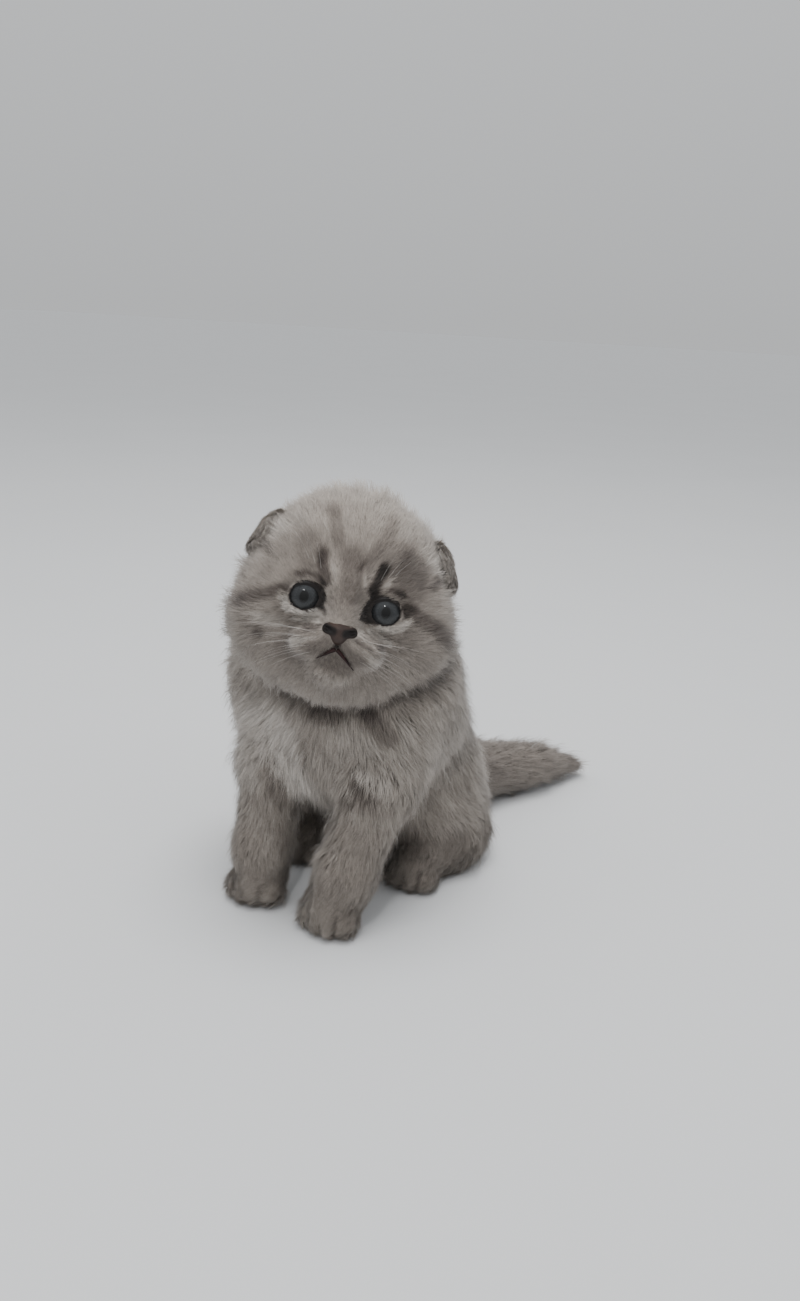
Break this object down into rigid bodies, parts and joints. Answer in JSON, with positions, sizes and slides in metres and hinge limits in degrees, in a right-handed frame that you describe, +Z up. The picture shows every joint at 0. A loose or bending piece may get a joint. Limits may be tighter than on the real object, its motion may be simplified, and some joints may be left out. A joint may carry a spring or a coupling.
{
  "type": "scottish fold kitten",
  "caption": "Young fold-eared kitten sitting with its head turned and lifted, plush grey coat, folded ears and tail laid back on the floor.",
  "frame": {"origin": "middle of the bounding box on the floor under the sitting kitten", "axes": "+Z up; -Y the way the body faces; +X the kitten's own left side"},
  "size_m": [0.1016, 0.1926, 0.1516],
  "materials": {
    "coat": "dense plush fur, warm grey, matt",
    "eye": "wet, clear and glossy over a grey-blue iris",
    "nose_leather": "fine-grained, slightly moist"
  },
  "bodies": {
    "root": {"head": "coat", "neck": "coat", "torso": "coat", "foreleg_left": "coat", "foreleg_right": "coat", "hindleg_left": "coat", "hindleg_right": "coat", "tail": "coat", "ear_left": "coat", "ear_right": "coat", "eye_left": "eye", "eye_right": "eye", "nose": "nose_leather"}
  },
  "joints": []
}
